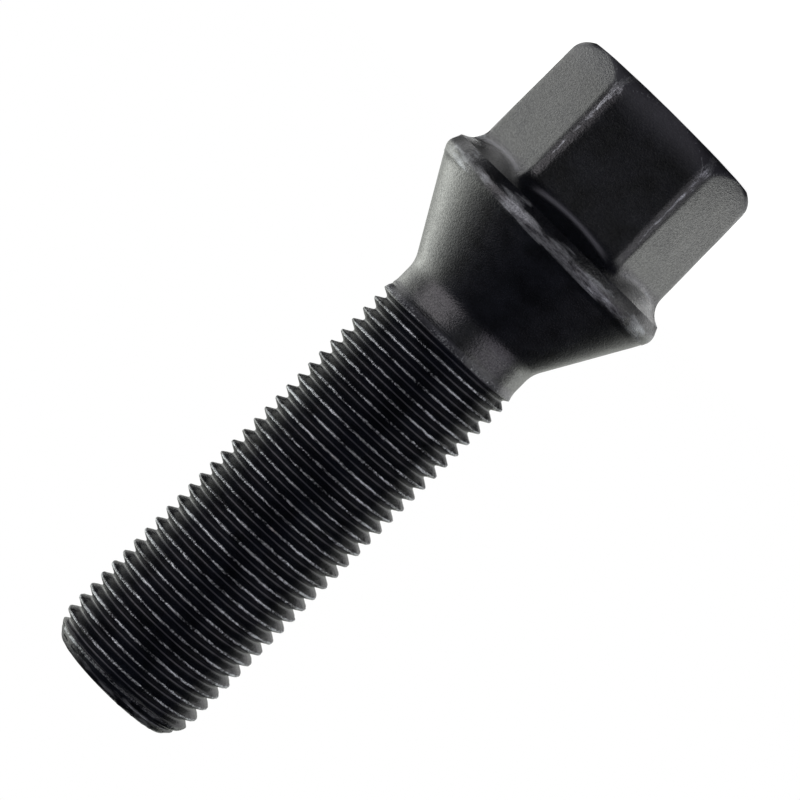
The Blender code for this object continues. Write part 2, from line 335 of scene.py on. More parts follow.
@dataclass
class ConeSeat:
    """The rounded rim, the 60 degree cone seat, the fillet and the neck."""

    rim_diameter: float = 22.74
    edge_diameter: float = RIM_EDGE_DIAMETER
    edge_height: float = HEAD_HEIGHT
    edge_rounding: float = 0.08
    rim_widest_height: float = 1.07
    rim_rounding: float = 1.1
    rim_height: float = 1.9
    lip: float = 0.035
    seat_diameter: float = 22.14
    seat_angle: float = math.radians(60.0)
    neck_diameter: float = NECK_DIAMETER
    neck_fillet: float = 2.7
    foot_slope: float = FOOT_SLOPE
    scuff_base: float = 0.73
    rim_scuffs: Scuffs = (
        (-71.0, 9.0, 0.4), (-113.0, 14.0, 0.34), (-152.0, 12.0, 0.36), (-34.0, 13.0, 0.4), (28.0, 15.0, 0.3),
        (82.0, 12.0, 0.36), (146.0, 18.0, 0.32))

    def outline(self, neck_end: float) -> Outline:
        """Radius against height, from the top of the neck down over the lip and round the rim to its edge.

        Args:
            neck_end: height of the thread's first level ring, where the outline starts.

        Returns:
            The outline's points, without the ring that it starts from.
        """
        neck = self.neck_diameter / 2
        seat = (self.seat_diameter / 2, self.edge_height + self.rim_height)
        corner = (neck, seat[1] + (seat[0] - neck) / math.tan(self.seat_angle / 2))
        fillet = round_corner((neck, neck_end), corner, seat, self.neck_fillet, 8)
        lip = (seat[0] + self.lip, seat[1])
        centre = (self.rim_diameter / 2 - self.rim_rounding, self.edge_height + self.rim_widest_height)
        edge = (self.edge_diameter / 2, self.edge_height)
        away = math.dist(centre, edge)
        start = math.atan2(edge[1] - centre[1], edge[0] - centre[0]) + math.acos(self.rim_rounding / away)
        rim = arc(centre, self.rim_rounding, self.seat_angle / 2 * 0.7, start, 10)
        slope = (edge[0] - math.cos(self.foot_slope), edge[1] - math.sin(self.foot_slope))
        under_lip = (seat[0] - self.lip, seat[1] + self.lip)
        cone = straight(fillet[-1], under_lip, 15) + [under_lip, lip] + straight(lip, rim[0], 2)
        rim_end = straight(rim[-1], edge, 2) + round_corner(rim[-1], edge, slope, self.edge_rounding, 3)
        return fillet + cone + rim + rim_end

    def seat_end(self) -> float:
        """Height at which the cone meets the rim."""
        return self.edge_height + self.rim_height

    def rim_wear(self, angle: float, height: float) -> float:
        """How worn the rim is: most towards the cone and in its scuffs.

        Args:
            angle: the direction, from +X.
            height: the height above the end face.

        Returns:
            The wear, which is 0 past the rim's edge and on the cone.
        """
        rising = 0.55 * smooth_step(self.edge_height - 0.5, self.edge_height + 0.05, height)
        rising += 0.45 * smooth_step(self.edge_height + 0.35, self.edge_height + 1.0, height)
        rising *= self.scuff_base + scuffed(angle, self.rim_scuffs)
        return rising * (1 - smooth_step(self.seat_end() - 0.02, self.seat_end() + 0.06, height))


@dataclass
class RolledThread:
    """Right-hand rolled thread with its rounded tip and its run-out at the neck."""

    tip_height: float = 63.87
    crest_diameter: float = 13.76
    pitch: float = 1.25
    half_angle: float = math.radians(30.0)
    first_crest: float = 0.87
    half_crest: float = 0.105
    crest_dome: float = 0.035
    root_radius: float = 0.19
    neck_diameter: float = NECK_DIAMETER
    run_out: tuple[float, float] = (24.25, 26.15)
    die_lift: float = 0.62
    land_blend: float = 0.05
    tip_face_diameter: float = 10.8
    tip_rounding: float = 0.55
    tip_chamfer: float = math.radians(40.0)
    tip_ease: float = 3.2
    tip_blend: float = 0.12
    tip_drops: tuple[float, ...] = (0.6, 0.48, 0.37, 0.27, 0.19, 0.12, 0.07, 0.03, 0.008, 0.0)
    tip_face_rings: tuple[float, ...] = (4.0, 2.4, 1.0)
    # The root's paleness is a painted highlight: the gleam of the rounded root.
    root_highlight: float = 0.27
    land_paleness: float = 0.38
    run_out_wear: float = 0.66
    run_out_burr: float = 0.3
    tip_scuff: float = 0.72
    full_turns: int = 31
    rows: tuple[float, ...] = (
        0.28, 0.46, 0.54, 0.625, 0.71, 0.79, 0.97, 1.115, 1.145, 1.21, 1.29, 1.355, 1.385, 1.53)
    columns: int = 180
    crowding: float = 0.45
    corners: int = 6

    def column_angle(self, share: float) -> float:
        """Direction of a column from its share of a turn, crowded towards the hexagon's corners."""
        angle = math.tau * share
        return angle - self.crowding / self.corners * math.sin(self.corners * angle)

    def level_rings(self) -> tuple[float, float]:
        """Heights of the two level rings between which the turns lie."""
        top = self.tip_height - self.first_crest + self.rows[0]
        return top - (self.full_turns + 1) * self.pitch, top

    def profile(self, phase: float) -> float:
        """Radius of the endless thread.

        Args:
            phase: height above the nearest crest, in millimetres.

        Returns:
            The distance from the axis.
        """
        crest = self.crest_diameter / 2
        across = abs(phase)
        if across <= self.half_crest:
            return crest - self.crest_dome * (across / self.half_crest) ** 2
        flank = crest - self.crest_dome - (across - self.half_crest) / math.tan(self.half_angle)
        half_root = self.root_radius * math.cos(self.half_angle)
        root_start = self.pitch / 2 - half_root
        if across <= root_start:
            return flank
        start = crest - self.crest_dome - (root_start - self.half_crest) / math.tan(self.half_angle)
        centre = start + self.root_radius * math.sin(self.half_angle)
        return centre - math.sqrt(max(0.0, self.root_radius**2 - (self.pitch / 2 - across) ** 2))

    def tip_outline(self, drop: float) -> float:
        """Outline of the rounded tip.

        Args:
            drop: the distance below its face.

        Returns:
            The radius there.
        """
        arc_end = self.tip_rounding * (1 - math.sin(self.tip_chamfer))
        start = self.tip_face_diameter / 2
        if drop < arc_end:
            return start + math.sqrt(max(0.0, self.tip_rounding**2 - (self.tip_rounding - drop) ** 2))
        past = min(drop - arc_end, self.tip_ease)
        rise = past * math.tan(self.tip_chamfer) * (1 - past / self.tip_ease / 2)
        return start + self.tip_rounding * math.cos(self.tip_chamfer) + rise

    def phase(self, angle: float, height: float) -> float:
        """Height above the nearest crest at a point of the shank."""
        crest = self.tip_height - self.first_crest + self.pitch * angle / math.tau
        return math.remainder(height - crest, self.pitch)

    def radius(self, angle: float, height: float) -> float:
        """Outline of the finished shank, with its tip and its run-out.

        Args:
            angle: the direction, from +X.
            height: the height above the end face.

        Returns:
            The radius there.
        """
        depth = smooth_step(*self.run_out, height)
        # Where the rolling dies bite less deep, the groove is shallow and the land between turns stays broad.
        groove = self.profile(self.phase(angle, height)) + (1 - depth) * self.die_lift
        rise = (self.crest_diameter - self.neck_diameter) / 2 + self.land_blend
        land = self.neck_diameter / 2 + rise * depth
        rolled = soft_least(groove, land, self.land_blend)
        return soft_least(rolled, self.tip_outline(self.tip_height - height), self.tip_blend)

    def painted_root_gleam(self, angle: float, height: float) -> float:
        """1 along the bottom of the groove, falling to 0 on both sides: a painted highlight, the gleam that
        the rounded root would reflect.
        """
        across = self.pitch / 2 - abs(self.phase(angle, height))
        return self.root_highlight * (1 - smooth_step(0.02, 0.08, across)) * self.bite(0.0, height)

    def on_land(self, angle: float, height: float) -> float:
        """Tells a crest and its land from the flanks.

        Args:
            angle: the direction, from +X.
            height: the height above the end face.

        Returns:
            1 on the land, falling to 0 a little way down its flanks.
        """
        across = abs(self.phase(angle, height))
        land = self.half_crest + (1 - self.bite(0.0, height)) * self.die_lift * math.tan(self.half_angle)
        worn = 1 - smooth_step(land * 0.9, land + self.half_crest, across)
        return worn * smooth_step(self.run_out[0] + 0.1, self.run_out[0] + 0.7, height)

    def crest_wear(self, angle: float, height: float) -> float:
        """How worn a crest is: less on the broad lands of the run-out."""
        return self.on_land(angle, height) * self.bite(self.run_out_wear, height)

    def land_haze(self, angle: float, height: float) -> float:
        """Dulls the broad lands of the run-out, where the dies only brushed the steel."""
        return self.land_paleness * self.on_land(angle, height) * (1 - self.bite(0.0, height))

    def bite(self, least: float, height: float) -> float:
        """1 on the full thread, falling to the given least where the run-out ends."""
        return least + (1 - least) * smooth_step(*self.run_out, height)

    def tip_wear(self, radius: float, height: float) -> float:
        """Tells the tip's rounding from the rest.

        Args:
            radius: the distance from the axis.
            height: the height above the head's end face.

        Returns:
            1 on the rounding, falling to 0 at the first turn and on the tip's flat face.
        """
        edge = self.tip_face_diameter / 2
        near_tip = smooth_step(self.tip_height - 1.5, self.tip_height - 0.7, height)
        return near_tip * smooth_step(0.8 * edge, edge, radius)


@dataclass(frozen=True)
class Weathering:
    """How rolling, forging and use have left the surface uneven. Sizes and depths are in millimetres."""

    crest_lift: Layers = ((0.5, 3.0, 0.045), (1.7, 7.0, 0.022))
    crest_sway: Layers = ((0.5, 11.0, 0.055), (2.5, 8.0, 0.025))
    crest_loss: float = 0.024
    crest_dents: Dents = (1.1, 21.0, 0.3, 0.16)
    rolled_skin: Layers = ((1.1, 5.0, 0.004),)
    tip_skin: Layers = ((1.0, 2.0, 0.03),)
    tip_loss: float = 0.01
    forged_skin: Layers = ((2.4, 1.0, 0.016), (0.55, 9.0, 0.007))
    forged_loss: float = 0.016
    rim_skin: Layers = ((1.4, 12.0, 0.022),)
    rim_dents: Dents = (1.0, 4.0, 0.25, 0.12)
    rim_squash: float = 2.2
    turned_skin: Layers = ((1.5, 6.0, 0.004),)

    def rolled(self, place: Vector, burr: float, near_tip: float) -> tuple[float, float]:
        """How far a point of the thread is moved.

        Args:
            place: the point.
            burr: how uneven the crest is there, from 0 to 1.
            near_tip: 1 on the tip's rounding, 0 on the turns.

        Returns:
            The moves along the surface's normal and along the axis.
        """
        outward = burr * (lumps(place, self.crest_lift) - self.crest_loss - dent(place, *self.crest_dents))
        outward += lumps(place, self.rolled_skin) + near_tip * (lumps(place, self.tip_skin) - self.tip_loss)
        return outward, burr * lumps(place, self.crest_sway)

    def forged(self, place: Vector, scuff: float, share: float) -> float:
        """How far a point of the head, the seat or the neck is moved.

        Args:
            place: the point.
            scuff: how scuffed the rim or the foot is there.
            share: 1 on the forged head, 0 on the turned cone and neck.

        Returns:
            The move along the surface's normal.
        """
        squashed = Vector((place.x, place.y, place.z * self.rim_squash))
        skin = lumps(place, self.forged_skin) - self.forged_loss
        skin += scuff * (lumps(squashed, self.rim_skin) - dent(squashed, *self.rim_dents))
        return share * skin + (1 - share) * lumps(place, self.turned_skin)


@dataclass
class WheelBolt:
    """The whole bolt as one closed mesh."""

    head: HexagonHead = field(default_factory=HexagonHead)
    seat: ConeSeat = field(default_factory=ConeSeat)
    thread: RolledThread = field(default_factory=RolledThread)
    weathering: Weathering = Weathering()
    merge: float = 1e-4
    angles: list[float] = field(default_factory=list)

    def __post_init__(self) -> None:
        """Works out the directions of the mesh's columns."""
        count = self.thread.columns
        self.angles = [self.thread.column_angle(k / count) for k in range(count)]

    def turns(self, bm: bmesh.types.BMesh) -> None:
        """Rolls the thread: one turn spun from a line of points, repeated, with a wedge of turns at each end.

        Args:
            bm: the empty bmesh that the turns go into.
        """
        thread = self.thread
        row = bm.verts.layers.float.new("row")
        column = bm.verts.layers.int.new("column")
        low, high = thread.level_rings()
        offsets = [phase - thread.rows[0] for phase in thread.rows]
        line = [bm.verts.new((thread.neck_diameter / 2, 0.0, offset)) for offset in offsets]
        for vert, offset in zip(line, offsets):
            vert[row] = offset
        edges = [bm.edges.new(pair) for pair in zip(line, line[1:])]
        bmesh.ops.spin(bm, geom=line + edges, axis=(0.0, 0.0, 1.0), cent=(0.0, 0.0, 0.0),
                       dvec=(0.0, 0.0, thread.pitch / thread.columns), angle=math.tau, steps=thread.columns,
                       use_merge=False, use_duplicate=False)
        turn = list(bm.verts) + list(bm.edges) + list(bm.faces)
        strips = [list(bm.verts)]
        for _ in range(thread.full_turns + 1):
            copy = bmesh.ops.duplicate(bm, geom=turn)["geom"]
            strips.append([item for item in copy if isinstance(item, bmesh.types.BMVert)])
        last = len(strips) - 1
        for index, verts in enumerate(strips):
            for vert in verts:
                offset = vert[row]
                step = round((vert.co.z - offset) / thread.pitch * thread.columns)
                share = step / thread.columns
                vert[column] = step % thread.columns
                if index == 0:
                    height = low + offset * share
                elif index == last:
                    height = high - thread.pitch * (1 - share) + offset * (1 - share)
                else:
                    height = low + (index - 1 + share) * thread.pitch + offset
                angle = self.angles[vert[column]]
                radius = thread.radius(angle, height)
                vert.co = (radius * math.cos(angle), radius * math.sin(angle), height)
        bmesh.ops.remove_doubles(bm, verts=bm.verts, dist=self.merge)

    def extrude_ring(self, bm: bmesh.types.BMesh, ring: list[bmesh.types.BMEdge], place: Place) -> list:
        """Extrudes a ring of edges and puts each new point where its direction says.

        Args:
            bm: the mesh.
            ring: the open ring's edges.
            place: a function from a direction to (radius, height).

        Returns:
            The new ring's edges.
        """
        column = bm.verts.layers.int["column"]
        made = bmesh.ops.extrude_edge_only(bm, edges=ring)["geom"]
        for vert in (item for item in made if isinstance(item, bmesh.types.BMVert)):
            angle = self.angles[vert[column]]
            radius, height = place(angle)
            vert.co = (radius * math.cos(angle), radius * math.sin(angle), height)
        return [item for item in made if isinstance(item, bmesh.types.BMEdge)]

    def close_end(self, bm: bmesh.types.BMesh, ring: list, height: float, radii: tuple[float, ...]) -> None:
        """Closes an end face with rings that shrink to its centre.

        Args:
            bm: the mesh.
            ring: the open ring's edges.
            height: the face's height.
            radii: the rings' radii, from the outside in.
        """
        for radius in radii:
            ring = self.extrude_ring(bm, ring, lambda angle, r=radius: (r, height))
        made = bmesh.ops.extrude_edge_only(bm, edges=ring)["geom"]
        fan = [item for item in made if isinstance(item, bmesh.types.BMVert)]
        bmesh.ops.pointmerge(bm, verts=fan, merge_co=(0.0, 0.0, height))

    def build(self) -> bpy.types.Object:
        """Builds the bolt and hides the plain solid that it stands for.

        Returns:
            The finished object, at the origin and in metres.
        """
        thread = self.thread
        bm = bmesh.new()
        self.turns(bm)
        low, high = thread.level_rings()
        rims = [edge for edge in bm.edges if edge.is_boundary]
        middle = (low + high) / 2
        ring = [edge for edge in rims if edge.verts[0].co.z > middle]
        for drop in thread.tip_drops:
            height = thread.tip_height - drop
            ring = self.extrude_ring(bm, ring, lambda angle, z=height: (thread.radius(angle, z), z))
        self.close_end(bm, ring, thread.tip_height, thread.tip_face_rings)
        ring = [edge for edge in rims if edge.verts[0].co.z < middle]
        for radius, height in self.seat.outline(low):
            ring = self.extrude_ring(bm, ring, lambda angle, r=radius, z=height: (r, z))
        for place in self.head.rings(self.angles):
            ring = self.extrude_ring(bm, ring, place)
        self.close_end(bm, ring, 0.0, self.head.end_face_rings)
        bmesh.ops.recalc_face_normals(bm, faces=bm.faces)
        self.mark_wear_and_gleam(bm)
        self.weather(bm)
        bmesh.ops.scale(bm, verts=bm.verts, vec=(MM, MM, MM))
        mesh = bpy.data.meshes.new("black_wheel_bolt")
        bm.to_mesh(mesh)
        bm.free()
        mesh.shade_smooth()
        bolt = bpy.data.objects.new("black_wheel_bolt", mesh)
        bpy.context.scene.collection.objects.link(bolt)
        bolt.data.materials.append(BlackOxide().material())
        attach(bolt, "root")
        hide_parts("wheel_bolt")
        return bolt

    def mark_wear_and_gleam(self, bm: bmesh.types.BMesh) -> None:
        """Writes how worn each point is, and how pale, with the painted highlights along the thread's root
        and the head's arches, for the finish to read.

        Args:
            bm: the mesh, still in millimetres.
        """
        corner, crest, rim, line = (bm.verts.layers.float.new(worn.value) for worn in WearAndGleam)
        low = self.thread.level_rings()[0]
        for vert in bm.verts:
            angle = math.atan2(vert.co.y, vert.co.x)
            height = vert.co.z
            if height > low:
                vert[crest] = self.thread.crest_wear(angle, height)
                # The pale line: the root's painted highlight, and the paler lands.
                vert[line] = max(self.thread.painted_root_gleam(angle, height), self.thread.land_haze(angle, height))
                vert[rim] = self.thread.tip_scuff * self.thread.tip_wear(vert.co.xy.length, height)
            elif height < self.head.height:
                vert[corner] = self.head.corner_wear(angle, height)
                vert[rim] = self.head.foot_wear(angle, height)
                # The pale line: the arch's partly painted highlight, and the paler faces near the end.
                vert[line] = max(self.head.arch_line(angle, height), self.head.end_haze(height))
            else:
                vert[rim] = self.seat.rim_wear(angle, height)

    def weather(self, bm: bmesh.types.BMesh) -> None:
        """Moves each point a little: uneven rolled crests, a lumpy forged skin, nicks along the rim.

        Args:
            bm: the mesh, still in millimetres.
        """
        crest = bm.verts.layers.float[WearAndGleam.CREST.value]
        rim = bm.verts.layers.float[WearAndGleam.RIM.value]
        low = self.thread.level_rings()[0]
        seat_end = self.seat.seat_end()
        bm.normal_update()
        moves = []
        for vert in bm.verts:
            place, height = vert.co, vert.co.z
            if height > low:
                burr = vert[crest] * self.thread.bite(self.thread.run_out_burr, height)
                near_tip = self.thread.tip_wear(place.xy.length, height)
                outward, along = self.weathering.rolled(place, burr, near_tip)
            else:
                forged = 1 - smooth_step(seat_end, seat_end + 0.1, height)
                outward, along = self.weathering.forged(place, vert[rim], forged), 0.0
            moves.append(vert.normal * outward + Vector((0.0, 0.0, along)))
        for vert, move in zip(bm.verts, moves):
            flat_end = vert.co.z < 1e-6 or vert.co.z > self.thread.tip_height - 1e-3
            vert.co += Vector((move.x, move.y, 0.0)) if flat_end else move


def linear(code: str) -> tuple[float, float, float, float]:
    """Turns an sRGB hex colour into the linear values that shaders take."""
    values = [int(code[k:k + 2], 16) / 255 for k in (1, 3, 5)]
    return (*[v / 12.92 if v <= 0.04045 else ((v + 0.055) / 1.055) ** 2.4 for v in values], 1.0)


def per_mm(size: float) -> float:
    """The scale that gives a texture lumps of a real size, on coordinates in metres."""
    return 1 / (size * MM)


def add_node(tree: Tree, kind: str, inputs: dict | None = None, **settings: object) -> bpy.types.Node:
    """Adds a node.

    Args:
        tree: the node tree.
        kind: the node's type, without the word ShaderNode.
        inputs: values or output sockets for its inputs, by name or number.
        settings: the node's own settings.

    Returns:
        The new node.
    """
    node = tree.nodes.new("ShaderNode" + kind)
    for name, value in settings.items():
        setattr(node, name, value)
    for name, value in (inputs or {}).items():
        if isinstance(value, Socket):
            tree.links.new(value, node.inputs[name])
        else:
            node.inputs[name].default_value = value
    return node


def calculate(tree: Tree, operation: str, *values: object) -> Socket:
    """One step of arithmetic on numbers or sockets."""
    return add_node(tree, "Math", dict(enumerate(values)), operation=operation).outputs[0]


def remap(tree: Tree, value: Socket, start: float, end: float, low: float = 0.0, high: float = 1.0) -> Socket:
    """Maps a value that runs from start to end onto low to high, and holds it there past both ends."""
    return add_node(tree, "MapRange", {
        "Value": value, "From Min": start, "From Max": end, "To Min": low, "To Max": high}).outputs[0]


def blend(tree: Tree, share: Socket, first: object, second: object) -> Socket:
    """Mixes two colours: the first where the share is 0, the second where it is 1."""
    mix = add_node(tree, "Mix", {"Factor": share, "A": first, "B": second}, data_type="RGBA")
    return mix.outputs["Result"]


def noise_map(tree: Tree, place: Socket, size: float, detail: float, roughness: float = 0.5,
              squash: tuple[float, float, float] = (1.0, 1.0, 1.0)) -> Socket:
    """Noise whose lumps have a real size.

    Args:
        tree: the node tree.
        place: where the noise is read, in metres.
        size: the lumps' size, in millimetres.
        detail: how many finer layers it has.
        roughness: how strong each finer layer is.
        squash: how many times smaller the lumps are along each axis.

    Returns:
        The noise's socket, from 0 to 1.
    """
    squashed = add_node(tree, "VectorMath", {0: place, 1: squash}, operation="MULTIPLY").outputs[0]
    return add_node(tree, "TexNoise", {
        "Vector": squashed, "Scale": per_mm(size), "Detail": detail, "Roughness": roughness}).outputs["Fac"]


def marked(tree: Tree, worn: WearAndGleam) -> Socket:
    """How worn the mesh says that it is, for one kind of wear; for the pale line, how pale, partly as a
    painted highlight.
    """
    return add_node(tree, "Attribute", attribute_name=worn.value).outputs["Fac"]


@dataclass(frozen=True)
class BlackOxide:
    """Black oxide under an oil film, on forged and rolled steel: dark, semi-gloss, worn at its edges.

    For each kind of wear, its flecks give how strongly noise breaks the wear up, and the sums of wear and
    noise at which the first fleck shows and at which the steel is bare. Sizes and depths are in millimetres.
    """

    oxide: str = "#0e1015"
    hazy: str = "#191c24"
    # Paints the highlights along the thread's root and the head's arches, and the paler lands and faces.
    pale: str = "#7d7e86"
    bare: str = "#bcc0c5"
    roughness: float = 0.32
    coat_share: float = 0.75
    forged_roughness: float = 0.1
    rolled_roughness: float = -0.11
    bare_roughness: float = 0.1
    film_weight: tuple[float, float] = (0.32, 1.0)
    rolled_film: float = 0.06
    gloss: float = 0.5
    rolled_gloss: float = 0.26
    thread_start: float = 24.6
    cloud_size: float = 2.4
    fleck_size: float = 0.15
    fleck_gathering: float = 0.22
    streak_size: float = 0.22
    smear_size: float = 2.6
    crest_flecks: tuple[float, float, float] = (2.0, 2.07, 2.42)
    corner_flecks: tuple[float, float, float] = (2.0, 1.8, 2.3)
    rim_flecks: tuple[float, float, float] = (2.6, 2.05, 2.9)
    grain_size: float = 0.15
    grain_depth: float = 0.022
    worn_grain_depth: float = 0.08
    skin_size: float = 0.6
    skin_depth: float = 0.012
    rim_skin_depth: float = 0.055
    ring_size: float = 0.16
    ring_depth: float = 0.012

    def flecked(self, tree: Tree, worn: WearAndGleam, texture: Socket,
                flecks: tuple[float, float, float]) -> Socket:
        """Breaks up one kind of wear with noise, so that it shows in flecks and not as an even band.

        Args:
            tree: the material's node tree.
            worn: the kind of wear.
            texture: noise from 0 to 1.
            flecks: its gain, and the sums of the first fleck and of bare steel.

        Returns:
            The socket with the broken wear, from 0 to 1.
        """
        gain, first, full = flecks
        return remap(tree, calculate(tree, "MULTIPLY_ADD", texture, gain, marked(tree, worn)), first, full)

    def bare_steel(self, tree: Tree, place: Socket, cloud: Socket) -> Socket:
        """Finds where the finish is worn through.

        Args:
            tree: the material's node tree.
            place: the place on the bolt.
            cloud: the oxide's soft clouds.

        Returns:
            A socket that is 1 on bare steel and 0 on the finish.
        """
        # Fine flecks break the worn crests up, and the clouds gather them into patches.
        fine = noise_map(tree, place, self.fleck_size, 4.0, 0.8)
        fleck = calculate(tree, "MULTIPLY_ADD", cloud, self.fleck_gathering, fine)
        # Knocks smear the corners lengthwise and the rim crosswise.
        streak = noise_map(tree, place, self.streak_size, 4.0, 0.7, squash=(1.0, 1.0, 0.3))
        smear = noise_map(tree, place, self.smear_size, 5.0, 0.56, squash=(1.0, 1.0, 5.0))
        crest = self.flecked(tree, WearAndGleam.CREST, fleck, self.crest_flecks)
        corner = self.flecked(tree, WearAndGleam.CORNER, streak, self.corner_flecks)
        rim = self.flecked(tree, WearAndGleam.RIM, smear, self.rim_flecks)
        return calculate(tree, "MAXIMUM", calculate(tree, "MAXIMUM", crest, corner), rim)

    def colour(self, tree: Tree, cloud: Socket, bare: Socket) -> Socket:
        """Nearly black, paler along the groove's bottom and the arches as a painted highlight, which at the
        arches is partly the forged edge's paler skin, bare steel where worn.

        Args:
            tree: the material's node tree.
            cloud: the oxide's soft clouds.
            bare: where the steel is bare.

        Returns:
            The colour's socket.
        """
        mottled = blend(tree, cloud, linear(self.oxide), linear(self.hazy))
        # Painted highlight along the root and the arches, and paler lands and faces near the end.
        lined = blend(tree, marked(tree, WearAndGleam.LINE), mottled, linear(self.pale))
        return blend(tree, bare, lined, linear(self.bare))

    def dullness(self, tree: Tree, cloud: Socket, rolled: Socket, bare: Socket) -> Socket:
        """The roughness: the forged rim is dull, the rolled thread smoother, and bare steel is scuffed.

        Args:
            tree: the material's node tree.
            cloud: the oxide's soft clouds.
            rolled: 1 on the thread.
            bare: where the steel is bare.

        Returns:
            The roughness's socket.
        """
        sheen = remap(tree, cloud, 0.0, 1.0, self.roughness - 0.04, self.roughness + 0.05)
        forged = calculate(tree, "MULTIPLY_ADD", marked(tree, WearAndGleam.RIM), self.forged_roughness, sheen)
        smooth = calculate(tree, "MULTIPLY_ADD", rolled, self.rolled_roughness, forged)
        return calculate(tree, "MULTIPLY_ADD", bare, self.bare_roughness, smooth)

    def relief(self, tree: Tree, place: Socket, specks: Socket, bare: Socket) -> Socket:
        """The bumps: a forged skin, a fine grain, and faint rings that the turning tool left round the neck.

        Args:
            tree: the material's node tree.
            place: the place on the bolt.
            specks: the grain's noise.
            bare: where the steel is bare.

        Returns:
            The normal's socket.
        """
        forged = marked(tree, WearAndGleam.RIM)
        skin_reach = remap(tree, forged, 0.0, 1.0, self.skin_depth * MM, self.rim_skin_depth * MM)
        skin = add_node(tree, "Bump", {
            "Height": noise_map(tree, place, self.skin_size, 4.0), "Distance": skin_reach})
        grain_reach = remap(tree, bare, 0.0, 1.0, self.grain_depth * MM, self.worn_grain_depth * MM)
        grained = add_node(tree, "Bump", {
            "Height": specks, "Distance": grain_reach, "Normal": skin.outputs[0]})
        height = add_node(tree, "SeparateXYZ", {0: place}).outputs["Z"]
        ring = add_node(tree, "TexNoise", {"W": height, "Scale": per_mm(self.ring_size), "Detail": 2.0},
                        noise_dimensions="1D").outputs["Fac"]
        ring_reach = remap(tree, height, (self.thread_start - 2.6) * MM, (self.thread_start - 1.2) * MM,
                           0.0, self.ring_depth * MM)
        return add_node(tree, "Bump", {
            "Height": ring, "Distance": ring_reach, "Normal": grained.outputs[0]}).outputs[0]

    def material(self) -> bpy.types.Material:
        """Builds the material's nodes.

        Returns:
            The material.
        """
        material = bpy.data.materials.new("black_oxide_steel")
        material.use_nodes = True
        tree = material.node_tree
        shader = tree.nodes["Principled BSDF"]
        place = add_node(tree, "TexCoord").outputs["Object"]
        # The oil film and the oxide vary in soft clouds a few millimetres across.
        cloud = remap(tree, noise_map(tree, place, self.cloud_size, 6.0, 0.62), 0.36, 0.66)
        specks = noise_map(tree, place, self.grain_size, 3.0)
        height = add_node(tree, "SeparateXYZ", {0: place}).outputs["Z"]
        rolled = remap(tree, height, self.thread_start * MM, (self.thread_start + 1) * MM)
        bare = self.bare_steel(tree, place, cloud)
        rough = self.dullness(tree, cloud, rolled, bare)
        # The oil film is thinner in specks, and there is less of it on the thread.
        film = remap(tree, specks, 0.4, 0.6, *self.film_weight)
        wiped = remap(tree, rolled, 0.0, 1.0, 1.0, self.rolled_film)
        normal = self.relief(tree, place, specks, bare)
        looks = {
            "Base Color": self.colour(tree, cloud, bare),
            "Metallic": bare,
            "Roughness": rough,
            "Specular IOR Level": remap(tree, rolled, 0.0, 1.0, self.gloss, self.rolled_gloss),
            "Coat Weight": calculate(tree, "MULTIPLY", film, wiped),
            "Coat Roughness": calculate(tree, "MULTIPLY", rough, self.coat_share),
            "Normal": normal,
            "Coat Normal": normal,
        }
        for name, socket in looks.items():
            tree.links.new(socket, shader.inputs[name])
        return material


@dataclass(frozen=True)
class SoftBox:
    """A large upright soft box that faces the bolt's axis."""

    name: str
    azimuth: float
    width: float
    radiance: float
    colour: str
    bottom: float = 2.0
    top: float = 185.0
    distance: float = 260.0

    def build(self) -> bpy.types.Object:
        """Hangs the soft box at its place.

        Returns:
            The lamp.
        """
        data = bpy.data.lights.new(self.name, "AREA")
        data.shape = "RECTANGLE"
        data.size = 2 * self.distance * math.tan(math.radians(self.width / 2)) * MM
        data.size_y = (self.top - self.bottom) * MM
        data.energy = self.radiance * math.pi * data.size * data.size_y
        data.color = linear(self.colour)[:3]
        lamp = bpy.data.objects.new(self.name, data)
        way = Matrix.Rotation(math.radians(self.azimuth), 3, "Z") @ Vector((0.0, -1.0, 0.0))
        lamp.location = way * self.distance * MM + Vector((0.0, 0.0, (self.bottom + self.top) / 2 * MM))
        lamp.rotation_mode = "QUATERNION"
        lamp.rotation_quaternion = way.to_track_quat("Z", "Y")
        lamp.visible_camera = False
        bpy.context.scene.collection.objects.link(lamp)
        return lamp


def azimuth_of(tree: Tree, vector: Socket) -> Socket:
    """The azimuth of a direction or a place, as seen from the bolt's axis.

    Args:
        tree: the node tree.
        vector: the direction or place.

    Returns:
        A socket that runs from 0 at -180 degrees to 1 at 180, counted from the camera's side towards +X.
    """
    parts = add_node(tree, "SeparateXYZ", {0: vector}).outputs
    angle = calculate(tree, "ARCTAN2", parts["X"], calculate(tree, "MULTIPLY", parts["Y"], -1.0))
    return remap(tree, angle, -math.pi, math.pi)


def around(tree: Tree, azimuth: Socket, stops: Stops) -> Socket:
    """A value that changes round the bolt.

    Args:
        tree: the node tree.
        azimuth: what azimuth_of gives.
        stops: the value at some azimuths.

    Returns:
        The value's socket.
    """
    shade = add_node(tree, "ValToRGB", {"Fac": azimuth})
    ramp = shade.color_ramp
    places = [(degrees + 180) / 360 for degrees, _ in stops]
    ramp.elements[0].position, ramp.elements[1].position = places[0], places[-1]
    for place in places[1:-1]:
        ramp.elements.new(place)
    for element, (_, level) in zip(ramp.elements, stops):
        element.color = (level, level, level, 1.0)
    return shade.outputs["Color"]


def in_view(tree: Tree) -> Socket:
    """1 for what the camera sees directly or through glass, else 0."""
    rays = add_node(tree, "LightPath").outputs
    return calculate(tree, "ADD", rays["Is Camera Ray"], rays["Is Transmission Ray"])


